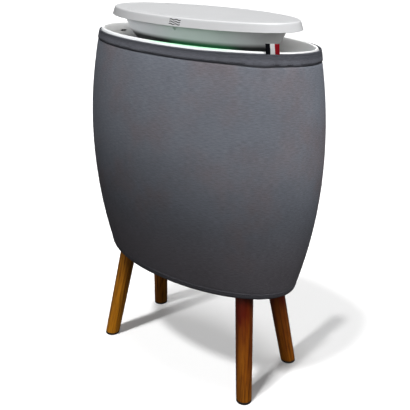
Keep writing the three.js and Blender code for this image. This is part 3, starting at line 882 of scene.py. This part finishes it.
class PURIFIER_OT_stage(bpy.types.Operator):
    """Makes the pale floor, the soft lights and the camera"""

    bl_idname = "purifier.stage"
    bl_label = "Stage"

    def execute(self, context):
        stage = settings("stage")
        deselect_all()
        bpy.ops.mesh.primitive_plane_add(size=30, location=(0, 0, 0))
        floor = name_piece("floor")
        floor.data.materials.append(self.sweep(stage))
        world = bpy.data.worlds.new("Studio")
        world.use_nodes = True
        sky = Tree(world.node_tree)
        strength = sky.scaled(sky.camera_ray(), stage.backdrop - stage.fill, stage.fill)
        glow = sky.add("ShaderNodeBackground", {"Color": (1, 1, 1, 1), "Strength": strength})
        sky.add("ShaderNodeOutputWorld", {"Surface": glow.outputs[0]})
        context.scene.world = world
        for name, (*where, floor_state) in LIGHTS.items():
            lamp = self.soft_light(f"{name}_light", *where, getattr(stage, f"{name}_power"))
            reach = bpy.data.collections.new(f"{name}_light_reach")
            lamp.light_linking.receiver_collection = reach
            if floor_state:
                light_link(reach.name, floor, floor_state)
            if name == "leg":
                blockers = bpy.data.collections.new("leg_light_blockers")
                lamp.light_linking.blocker_collection = blockers
            if name == "inner":
                lamp.data.color = stage.inner_colour
        self.camera(context, stage)
        context.scene.view_settings.view_transform = "Standard"
        context.scene.view_settings.gamma = stage.contrast
        return {"FINISHED"}

    def sweep(self, stage):
        """A pale sweep that glows a little, so that it stays white up to the horizon."""
        look = Finish(
            "Studio Sweep", stage.floor, 0.9, {"Specular IOR Level": 0.0, "Emission Strength": 1.0}
        )
        seen = look.camera_ray()
        bounced = tint(stage.floor, stage.floor_bounce)
        look.show({
            "Base Color": look.blend(seen, bounced, tint(stage.floor)),
            "Emission Color": look.blend(seen, BLACK, tint((1, 1, 1), stage.sweep_glow)),
        })
        return look.material

    def soft_light(self, name, azimuth, elevation, spread, power):
        """A distant soft light, seen from the object at an azimuth and an elevation."""
        aim = direction(math.radians(azimuth), math.radians(elevation))
        deselect_all()
        bpy.ops.object.light_add(type="SUN", location=aim * 3)
        lamp = name_piece(name)
        lamp.data.energy = power
        lamp.data.angle = math.radians(spread)
        lamp.rotation_euler = aim.to_track_quat("Z", "Y").to_euler()
        return lamp

    def camera(self, context, stage):
        azimuth, roll = math.radians(stage.azimuth), math.radians(stage.roll)
        back = direction(azimuth, math.radians(stage.elevation))
        right = Vector((math.cos(azimuth), math.sin(azimuth), 0))
        up = back.cross(right)
        turned_right = math.cos(roll) * right + math.sin(roll) * up
        turned_up = math.cos(roll) * up - math.sin(roll) * right
        place = Vector(stage.target) + back * stage.distance
        deselect_all()
        bpy.ops.object.camera_add(location=place)
        camera = name_piece("camera")
        turn = Matrix((turned_right, turned_up, back)).transposed()
        camera.matrix_world = Matrix.Translation(place) @ turn.to_4x4()
        camera.data.lens = stage.lens
        camera.data.sensor_width = 36
        camera.data.clip_start = 0.01
        context.scene.camera = camera


class PURIFIER_OT_sleeve(bpy.types.Operator):
    """Makes the knitted sleeve with its two hems, stretched over the body"""

    bl_idname = "purifier.sleeve"
    bl_label = "Fabric Sleeve"

    def execute(self, context):
        sleeve = settings("sleeve")
        piece = loft("sleeve", self.rings(sleeve))
        self.gather(piece, sleeve)
        girth = math.pi * (SLEEVE_HIGH.x + SLEEVE_HIGH.y)

        def place(at, centre):
            """Girth and height, with a face's corners all on one side of the map's seam."""
            turn, middle = outline_turn(at, centre.z), outline_turn(centre, centre.z)
            turn += TURN * round((middle - turn) / TURN)
            return turn / TURN * girth, at.z

        cloth_map(piece, place)
        settle(piece, 50, "knit_fabric", "knit_fabric", "fabric_sleeve")
        return {"FINISHED"}

    def rings(self, sleeve):
        """The sleeve's section: up the outside, over the rim and down the inside."""
        stand, dip, thick = sleeve.hem_stand, sleeve.seam_dip, sleeve.thickness
        low, high = SLEEVE_LOW.z, SLEEVE_HIGH.z
        top_seam, bottom_seam = high - sleeve.top_hem, low + sleeve.bottom_hem
        outer = [(1.2 * MM, low), (0.5 * MM, low + 0.4 * MM), (-0.1 * stand, low + 1.8 * MM)]
        outer += [(-0.4 * stand, z) for z in steps(low + 4 * MM, bottom_seam - 2.4 * MM, 3)]
        outer += [(-0.2 * stand, bottom_seam - 1.2 * MM), (0.3 * dip, bottom_seam)]
        outer += [(0.1 * dip, bottom_seam + 1.1 * MM)]
        outer += [(0, z) for z in steps(bottom_seam + 3 * MM, top_seam - 3.2 * MM, 88)]
        outer += [(0.25 * dip, top_seam - 1.4 * MM), (dip, top_seam - 0.2 * MM)]
        outer += [(0.5 * dip, top_seam + 0.6 * MM), (-0.6 * stand, top_seam + 1.6 * MM)]
        outer += [(-stand, z) for z in steps(top_seam + 3 * MM, high - 4.4 * MM, 4)]
        outer += [(-0.5 * stand, high - 3.2 * MM), (-0.5 * stand, high - 2.4 * MM)]
        outer += [(-0.8 * stand, high - 1.6 * MM), (-0.4 * stand, high - 0.5 * MM)]
        outer += [(0.3 * MM, high), (thick - 0.4 * MM, high), (thick, high - 0.5 * MM)]
        inner = [(thick, z) for z in steps(high - 1.5 * MM, low + 1 * MM, 30)]
        return [inside(inset, z) for inset, z in outer + inner]

    def gather(self, piece, sleeve):
        """Draws the rim up at the label's end, and gathers the cloth a little along the seams."""
        drawn_up, gathered, sagging = 0.35, -0.62, -0.72  # where, as a turn round the oval
        top_seam = SLEEVE_HIGH.z - sleeve.top_hem
        bottom_seam = SLEEVE_LOW.z + sleeve.bottom_hem
        for vertex in piece.data.vertices:
            at = vertex.co.copy()
            turn, outward = outline_turn(at, at.z), oval_normal(at, *sleeve_oval(at.z))
            end = max(math.cos(turn - drawn_up), 0) ** 0.7
            drawn = (0.3 * MM + sleeve.rim_lift * end) * max(at.z - top_seam, 0) / sleeve.top_hem
            girth = turn / TURN * 1.05
            where = Vector((girth * 60, at.z * 16, 0.3))
            below = max(top_seam - at.z, 0) / (24 * MM)
            above = max(at.z - top_seam, 0) / (8 * MM)
            top = math.exp(-below - above * above)
            low = math.exp(-max(at.z - bottom_seam, 0) / (14 * MM)) if at.z > bottom_seam else 0.5
            corner = math.exp(-((turn - gathered) ** 2) / 0.16)
            ripple = noise.noise(where) + 0.5 * noise.noise(where * 2.1)
            creases = noise.noise(Vector((girth * 105, at.z * 50, 2.7)))
            depth = ripple * (top * (0.4 + corner) + 0.3 * low) + creases * top * corner
            depth = max(min(sleeve.pucker * depth, 1.2 * MM), -0.9 * MM)
            sag = 1.6 * MM * math.exp(-((turn - sagging) ** 2) / 0.03 - (above * 1.6) ** 2 - below)
            vertex.co = at + outward * depth + Vector((0, 0, drawn - sag))


class PURIFIER_OT_label(bpy.types.Operator):
    """Makes the folded woven label on the top hem"""

    bl_idname = "purifier.label"
    bl_label = "Woven Label"

    def execute(self, context):
        middle = (LABEL_LOW + LABEL_HIGH) / 2
        outward = oval_normal(middle, *outline(SLEEVE_HIGH.z))
        along = Vector((-outward.y, outward.x, 0))
        tucked = 1 * MM
        tall = LABEL_HIGH.z - LABEL_LOW.z + tucked
        deselect_all()
        bpy.ops.mesh.primitive_plane_add(size=1)
        piece = name_piece("label")
        edit_all()
        bpy.ops.mesh.subdivide(number_cuts=15)
        bpy.ops.object.mode_set(mode="OBJECT")
        cloth_map(piece, lambda at, centre: (at.x + 0.5, at.y + 0.5))
        for vertex in piece.data.vertices:
            s, t = vertex.co.x, vertex.co.y + 0.5
            lean = 2.2 * MM * t * t
            wave = 0.6 * MM * math.sin(s * 3 + 1) * t
            vertex.co = (
                Vector((middle.x, middle.y, LABEL_LOW.z - tucked + t * tall))
                + along * (s * settings("sleeve").label_width - 1.6 * MM * t)
                + outward * (wave - lean)
            )
        apply_modifier(piece, "SOLIDIFY", thickness=1 * MM, offset=0)
        apply_modifier(piece, "BEVEL", width=0.2 * MM, segments=2)
        settle(piece, 40, "label_weave", "label_weave", "woven_label")
        return {"FINISHED"}


class PURIFIER_OT_stitches(bpy.types.Operator):
    """Makes the rows of stitches that hold the hems"""

    bl_idname = "purifier.stitches"
    bl_label = "Hem Stitches"

    def execute(self, context):
        sleeve = settings("sleeve")
        deselect_all()
        bpy.ops.mesh.primitive_uv_sphere_add(segments=8, ring_count=5, radius=1)
        stitch = shape_primitive("one_stitch", (1.25 * MM, 0.28 * MM, 0.30 * MM))
        top_row = SLEEVE_HIGH.z - sleeve.top_hem + 3.4 * MM
        bottom_row = SLEEVE_LOW.z + sleeve.bottom_hem - 2.8 * MM
        copies = []
        for z, stand in ((top_row, sleeve.hem_stand), (bottom_row, 0.4 * sleeve.hem_stand)):
            a, b, _ = inside(-stand, z)
            for place, along, outward in self.stations(a, b, z, sleeve.stitch_pitch):
                turn = Matrix((along, outward, Vector((0, 0, 1)))).transposed()
                copies.append(stitch.copy())
                copies[-1].data = stitch.data.copy()
                copies[-1].data.transform(Matrix.Translation(place) @ turn.to_4x4())
                context.scene.collection.objects.link(copies[-1])
        bpy.data.objects.remove(stitch)
        select(*copies)
        bpy.ops.object.join()
        piece = name_piece("hem_stitches")
        settle(piece, 80, "thread", "knit_fabric")
        return {"FINISHED"}

    def stations(self, a, b, z, pitch):
        """Even places along an oval, each with its direction and its outward normal."""
        turn = 0.0
        while turn < TURN:
            place = Vector((a * math.cos(turn), b * math.sin(turn), z))
            along = Vector((-a * math.sin(turn), b * math.cos(turn), 0))
            speed = along.length
            along.normalize()
            yield place, along, Vector((along.y, -along.x, 0))
            turn += pitch / speed


# The funnel's section in millimetres: set in from the rim's outline, and down from the lip's top.
LIP_SECTION = (
    (2.3, 6.5), (2.6, 4.4), (3.7, 1.6), (5.8, 0), (8.2, 1.2), (9.8, 4.6), (12, 10.5), (15, 17),
    (23, 29), (31, 38),
)
UNDER_SECTION = ((28.8, 40.4), (20.6, 31), (12.6, 18.4), (7.6, 7), (4.9, 8))


class PURIFIER_OT_funnel(bpy.types.Operator):
    """Makes the white outlet funnel with its rolled lip and sensor slot"""

    bl_idname = "purifier.funnel"
    bl_label = "Outlet Funnel"

    def execute(self, context):
        top, low, foot = FUNNEL_HIGH.z, FUNNEL_LOW.z, 560 * MM
        lip = [(inset * MM, top - drop * MM) for inset, drop in LIP_SECTION]
        floor = [(39 * MM, low + 2.6 * MM), (49 * MM, low + 2.6 * MM)]
        under = [(50 * MM, low + 1.4 * MM), (49 * MM, low), (38 * MM, low)]
        under += [(inset * MM, top - drop * MM) for inset, drop in UNDER_SECTION]
        under += [(4.9 * MM, foot)]
        profile = [(2.3 * MM, foot), *eased([*lip, *floor], 5), *under]
        rings = [
            inside(inset, z, SLEEVE_HIGH.z if z > 566 * MM or inset > 5 * MM else z)
            for inset, z in profile
        ]
        piece = loft("funnel", rings)
        slot_low, slot_high = (-200 * MM, 13.2 * MM, 579 * MM), (-176 * MM, 22.8 * MM, 582 * MM)
        carve(piece, rounded_block("slot_tool", slot_low, slot_high, 1.2 * MM))
        settle(piece, 30, "funnel", "white_shell", "outlet_funnel")
        light_link("inner_light_reach", piece)
        return {"FINISHED"}


class PURIFIER_OT_bowl(bpy.types.Operator):
    """Makes the deflector bowl under the lid, with its status lens and light ring"""

    bl_idname = "purifier.bowl"
    bl_label = "Deflector Bowl"

    def execute(self, context):
        wall = settings("top").wall
        low, high = BOWL_LOW.z, BOWL_HIGH.z
        outer = [bowl_ring(0, z) for z in steps(low + 4 * MM, high, 22)]
        foot = [
            bowl_ring(inset * MM, low + up * MM) for inset, up in ((6, 0), (2.6, 0.6), (0.7, 2))
        ]
        inner = [bowl_ring(wall, z) for z in steps(high, low + wall, 12)]
        piece = loft("bowl", foot + outer + inner, closed=False)
        settle(piece, 30, "bowl", "white_shell", "deflector_bowl")
        light_link("inner_light_reach", piece)
        self.lens()
        self.light_ring()
        return {"FINISHED"}

    def lens(self):
        middle = (LENS_LOW + LENS_HIGH) / 2
        middle.y = LENS_LOW.y + 1 * MM
        radius = (LENS_HIGH.x - LENS_LOW.x) / 2
        deselect_all()
        bpy.ops.mesh.primitive_uv_sphere_add(
            segments=32, ring_count=16, radius=radius, location=middle
        )
        piece = shape_primitive("status_dot", (1, 0.55, 1))
        settle(piece, 60, "lens", "lens", "status_lens")

    def light_ring(self):
        low, high = RING_LOW.z, RING_HIGH.z
        outer = [bowl_ring(0.5 * MM, z) for z in steps(low + 0.6 * MM, high - 0.6 * MM, 6)]
        rings = [bowl_ring(1.1 * MM, low), *outer, bowl_ring(1.1 * MM, high)]
        rings += [bowl_ring(5 * MM, high), bowl_ring(5 * MM, low)]
        piece = loft("light_guide", rings)
        settle(piece, 40, "light_guide", "light_guide", "light_ring")


class PURIFIER_OT_lid(bpy.types.Operator):
    """Makes the floating lid's cover"""

    bl_idname = "purifier.lid"
    bl_label = "Lid"

    def execute(self, context):
        top = settings("top")
        low, high, edge, wall = LID_LOW.z, LID_HIGH.z, top.lid_edge, top.wall
        rings = [lid_ring(wall, low + 0.4 * MM), lid_ring(wall - 0.4 * MM, low)]
        rings += [lid_ring(0.5 * MM, low), lid_ring(0, low + 0.5 * MM)]
        rings += [lid_ring(0, z) for z in steps(low + 1.5 * MM, high - edge, 5)]
        rings += [lid_ring(edge - x, high - edge + y) for x, y in quarter(edge, 0, 0, 0, 6)[1:]]
        rings += [lid_ring(inset * MM, high + 0.02 * MM) for inset in (4, 12, 30, 52, 70)]
        piece = loft("lid", rings[::-1] + [lid_ring(wall, high - wall)], closed=False)
        settle(piece, 30, "lid", "white_shell", "lid_cover")
        light_link("rear_light_reach", piece, "EXCLUDE")
        return {"FINISHED"}


def leg_centre(sx, sy, z):
    leg = settings("leg")
    t = z / SLEEVE_LOW.z
    x = leg.foot_x + (leg.head_x - leg.foot_x) * t
    y = leg.foot_y + (leg.head_y - leg.foot_y) * t
    return Vector((sx * x, sy * y, z))


def leaning_bar(name, sx, sy, profile):
    """A round bar that leans with a leg, through (radius, z) rings, with level ends."""
    deselect_all()
    radius, z = profile[0]
    bpy.ops.mesh.primitive_circle_add(vertices=64, radius=radius, location=leg_centre(sx, sy, z))
    piece = shape_primitive(name)
    edit_all()
    sweep([(r, r, height) for r, height in profile], lambda height: leg_centre(sx, sy, height))
    close_ends(False)
    return piece


class PURIFIER_OT_legs(bpy.types.Operator):
    """Makes the four turned wooden legs"""

    bl_idname = "purifier.legs"
    bl_label = "Legs"

    def execute(self, context):
        leg = settings("leg")
        low, soft = leg.pad_height + 0.4 * MM, 1.6 * MM
        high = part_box("leg_front_left")[1].z
        for index, (corner, (sx, sy)) in enumerate(CORNERS.items()):
            soften = quarter(soft, -90, leg.bottom_radius - soft, low + soft)
            shaft = [
                (leg.bottom_radius + (leg.top_radius - leg.bottom_radius) * z / high, z)
                for z in steps(low + 6 * MM, high, 16)
            ]
            piece = leaning_bar(f"{corner}_leg", sx, sy, soften + shaft)
            self.grain(piece, sx, sy, index, WOOD_TONE_AND_SHADE[corner])
            settle(piece, 35, "leg_wood", "leg_wood", f"leg_{corner}")
            light_link("leg_light_blockers", piece)
            light_link("low_light_reach", piece)
        return {"FINISHED"}

    def grain(self, piece, sx, sy, index, tones_and_shade):
        """Stores where each point lies in the log, and how light the wood is drawn at foot and head,
        which holds the wood's own tone and painted shade towards the head.
        """
        foot, head = leg_centre(sx, sy, 0), leg_centre(sx, sy, 190 * MM)
        along = (head - foot).normalized()
        turn = Matrix.Rotation(index * 1.9 + 0.4, 3, along)
        first = turn @ along.orthogonal().normalized()
        second = along.cross(first)
        tone = piece.data.attributes.new("tone", "FLOAT", "POINT")
        for vertex, entry in zip(piece.data.vertices, tone.data):
            entry.value = tones_and_shade[0] + (tones_and_shade[1] - tones_and_shade[0]) * vertex.co.z / SLEEVE_LOW.z
        layer = piece.data.attributes.new("grain", "FLOAT_VECTOR", "POINT")
        for vertex, entry in zip(piece.data.vertices, layer.data):
            at = vertex.co - foot
            entry.vector = (
                at.dot(first) + 0.11 * index, at.dot(second) + 0.02, at.dot(along) + 0.37 * index
            )


class PURIFIER_OT_feet(bpy.types.Operator):
    """Makes the four foot pads"""

    bl_idname = "purifier.feet"
    bl_label = "Foot Pads"

    def execute(self, context):
        leg = settings("leg")
        soft, high = 0.9 * MM, leg.pad_height
        across = leg.bottom_radius - 0.2 * MM - soft
        profile = quarter(soft, -90, across, soft) + quarter(soft, 0, across, high - soft)
        for corner, (sx, sy) in CORNERS.items():
            piece = leaning_bar(f"{corner}_pad", sx, sy, profile)
            settle(piece, 40, "foot_rubber", "foot_rubber", f"foot_pad_{corner}")
        return {"FINISHED"}


class PURIFIER_OT_base(bpy.types.Operator):
    """Makes the base tray that closes the body from below"""

    bl_idname = "purifier.base"
    bl_label = "Base Tray"

    def execute(self, context):
        low, high = TRAY_LOW.z, TRAY_HIGH.z
        turned_up = ((10.4, 0.3), (7, 1.4), (4.4, 3.2), (2.6, 5.6))
        outer = [inside(60 * MM, low), inside(14 * MM, low)]
        outer += [inside(inset * MM, low + up * MM, low) for inset, up in turned_up]
        outer += [inside(2.3 * MM, z) for z in steps(low + 8 * MM, high, 3)]
        inner = [inside(4.9 * MM, high), inside(5.9 * MM, low + 8.2 * MM)]
        inner += [inside(15 * MM, low + 3.4 * MM)]
        piece = loft("tray", outer + inner, closed=False)
        inlet_low, inlet_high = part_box("power_inlet")
        gap = Vector((0.4 * MM, 0.4 * MM, 0))
        inlet_low, inlet_high = inlet_low - gap, inlet_high + gap
        inlet_low.z, inlet_high.z = low - 5 * MM, low + 8 * MM
        carve(piece, rounded_block("inlet_tool", inlet_low, inlet_high, 1 * MM))
        settle(piece, 30, "inner_black", "inner_black", "base_tray")
        return {"FINISHED"}


class PURIFIER_OT_finishes(bpy.types.Operator):
    """Gives every remaining part of the frame its finish"""

    bl_idname = "purifier.finishes"
    bl_label = "Frame Finishes"

    def execute(self, context):
        for part in frame["record"]["subparts"]:
            node = frame["nodes"][part["node"]]
            if node.hide_render:
                continue
            node.data.materials.clear()
            node.data.materials.append(finish(part["material_slot"]))
        return {"FINISHED"}


OPERATORS = (
    PURIFIER_OT_stage,
    PURIFIER_OT_sleeve,
    PURIFIER_OT_stitches,
    PURIFIER_OT_label,
    PURIFIER_OT_funnel,
    PURIFIER_OT_bowl,
    PURIFIER_OT_lid,
    PURIFIER_OT_legs,
    PURIFIER_OT_feet,
    PURIFIER_OT_base,
    PURIFIER_OT_finishes,
)


class PURIFIER_PT_panel(bpy.types.Panel):
    """Lists the purifier's pieces and settings"""

    bl_label = "Air Purifier"
    bl_idname = "PURIFIER_PT_panel"
    bl_space_type = "VIEW_3D"
    bl_region_type = "UI"
    bl_category = "Purifier"

    def draw(self, context):
        for operator in OPERATORS:
            self.layout.operator(operator.bl_idname)
        for group in SETTINGS:
            box = self.layout.box()
            box.label(text=group.title())
            for key in SETTINGS[group].__annotations__:
                box.prop(settings(group), key)


def register():
    for group in SETTINGS.values():
        bpy.utils.register_class(group)
    for name, group in SETTINGS.items():
        setattr(bpy.types.Scene, f"purifier_{name}", PointerProperty(type=group))
    for item in (*OPERATORS, PURIFIER_PT_panel):
        bpy.utils.register_class(item)


def unregister():
    for item in (PURIFIER_PT_panel, *reversed(OPERATORS)):
        bpy.utils.unregister_class(item)
    for name, group in SETTINGS.items():
        delattr(bpy.types.Scene, f"purifier_{name}")
        bpy.utils.unregister_class(group)


def main():
    register()
    for operator in OPERATORS:
        family, name = operator.bl_idname.split(".")
        if getattr(getattr(bpy.ops, family), name)() != {"FINISHED"}:
            raise RuntimeError(f"{operator.bl_idname} did not finish")


if __name__ == "__main__":
    main()
